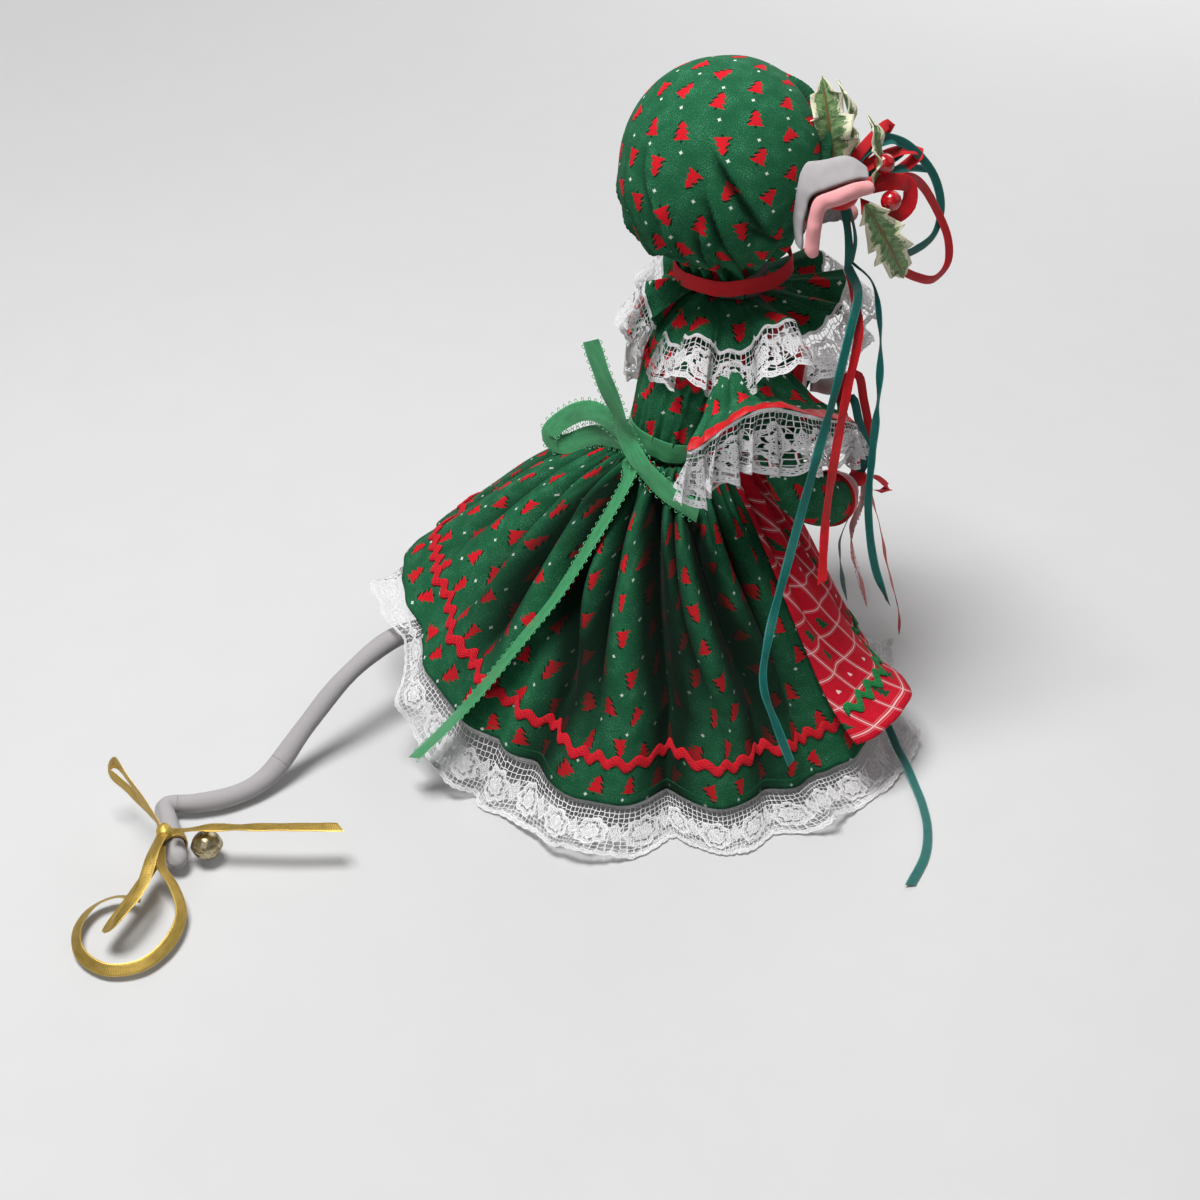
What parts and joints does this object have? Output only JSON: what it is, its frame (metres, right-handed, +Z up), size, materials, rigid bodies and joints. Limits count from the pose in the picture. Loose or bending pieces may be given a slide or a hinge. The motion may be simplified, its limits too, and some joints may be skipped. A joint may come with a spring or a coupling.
{
  "type": "dressed mouse doll",
  "caption": "Standing stuffed mouse doll in a gathered print dress, lace petticoat, apron and hood, with a holly corsage, ribbon streamers and a jingle bell on its long felt tail.",
  "frame": {"origin": "centre of the flat underside of the round base board", "axes": "+Z up; the doll faces -Y, and its right side is -X"},
  "size_m": [0.2495, 0.3232, 0.2287],
  "materials": {
    "cotton_print": "woven cotton with a small all-over print",
    "white_lace": "open floral net lace",
    "apron_check": "woven cotton with a fine windowpane check",
    "red_rickrack": "ribbed wavy braid",
    "green_rickrack": "ribbed wavy braid",
    "grey_felt": "fuzzy felt",
    "pink_felt": "fuzzy felt",
    "black_bead": "glossy bead",
    "red_satin": "satin ribbon",
    "teal_satin": "satin ribbon",
    "green_picot_ribbon": "satin ribbon with looped edges",
    "gold_ribbon": "metallic ribbed ribbon",
    "bell_metal": "tarnished pale gold plate",
    "holly_leaf": "waxed cloth leaf with a cream edge",
    "holly_berry": "glossy lacquer",
    "dowel_wood": "plain turned wood",
    "base_fibreboard": "plain pressed board"
  },
  "bodies": {
    "doll": {"base_board": "base_fibreboard", "lower_body": "cotton_print", "petticoat": "white_lace", "skirt": "cotton_print", "skirt_rickrack": "red_rickrack", "apron": "apron_check", "apron_rickrack": "green_rickrack", "bodice": "cotton_print", "neck_dowel": "dowel_wood", "waist_sash": "green_picot_ribbon", "yoke_rickrack": "red_rickrack", "collar": "cotton_print", "collar_lace": "white_lace", "sash_bow": "green_picot_ribbon", "sash_tail": "green_picot_ribbon", "floor_ribbon": "teal_satin", "tail_base": "grey_felt"},
    "head_body": {"head": "grey_felt", "nose": "pink_felt", "right_eye": "black_bead", "left_eye": "black_bead", "hood": "cotton_print", "neck_ribbon": "red_satin", "right_ear": "grey_felt", "right_ear_lining": "pink_felt", "left_ear": "grey_felt", "left_ear_lining": "pink_felt", "holly_leaf_upper": "holly_leaf", "holly_leaf_middle": "holly_leaf", "holly_leaf_lower": "holly_leaf", "holly_leaf_front": "holly_leaf", "berry_upper": "holly_berry", "berry_lower": "holly_berry", "corsage_bow": "red_satin", "red_loop": "red_satin", "teal_loop": "teal_satin", "teal_streamer_right": "teal_satin", "red_streamer": "red_satin", "teal_streamer_front": "teal_satin"},
    "right_arm": {"right_sleeve": "cotton_print", "right_sleeve_band": "red_satin", "right_sleeve_lace": "white_lace", "right_forearm": "cotton_print", "right_paw": "grey_felt", "hand_bow": "red_satin", "hand_red_ribbon": "red_satin", "hand_red_streamer": "red_satin", "hand_teal_ribbon": "teal_satin"},
    "left_arm": {"left_sleeve": "cotton_print", "left_sleeve_band": "red_satin", "left_sleeve_lace": "white_lace", "left_forearm": "cotton_print", "left_paw": "grey_felt"},
    "tail_mid_body": {"tail_middle": "grey_felt"},
    "tail_end_body": {"tail_end": "grey_felt", "gold_bow": "gold_ribbon", "gold_ribbon_end": "gold_ribbon", "gold_curl": "gold_ribbon"},
    "bell_body": {"jingle_bell": "bell_metal"},
    "pellet_body": {"bell_pellet": "bell_metal"}
  },
  "joints": [
    {"name": "head_turn", "type": "hinge", "parent": "doll", "child": "head_body", "pos_m": [0, -0.03, 0.155], "axis": [0, 0, 1], "range_deg": [-20, 20], "deforming": ["teal_streamer_right", "red_streamer", "teal_streamer_front"]},
    {"name": "right_arm_lift", "type": "hinge", "parent": "doll", "child": "right_arm", "pos_m": [-0.0235, -0.022, 0.137], "axis": [-1, 0, 0], "range_deg": [0, 12]},
    {"name": "left_arm_lift", "type": "hinge", "parent": "doll", "child": "left_arm", "pos_m": [0.0235, -0.022, 0.137], "axis": [-1, 0, 0], "range_deg": [-15, 5]},
    {"name": "tail_bend_middle", "type": "hinge", "parent": "doll", "child": "tail_mid_body", "pos_m": [-0.0045, 0.145, 0.006], "axis": [0, 0, 1], "range_deg": [-20, 20]},
    {"name": "tail_bend_end", "type": "hinge", "parent": "tail_mid_body", "child": "tail_end_body", "pos_m": [-0.0045, 0.1815, 0.0048], "axis": [0, 0, 1], "range_deg": [-20, 20]},
    {"name": "bell_swing", "type": "hinge", "parent": "tail_end_body", "child": "bell_body", "pos_m": [-0.0315, 0.175, 0.01245], "axis": [0, 1, 0], "range_deg": [-25, 25]},
    {"name": "pellet_rattle", "type": "slide", "parent": "bell_body", "child": "pellet_body", "axis": [0, 0, 1], "range_m": [0, 0.0042]}
  ]
}
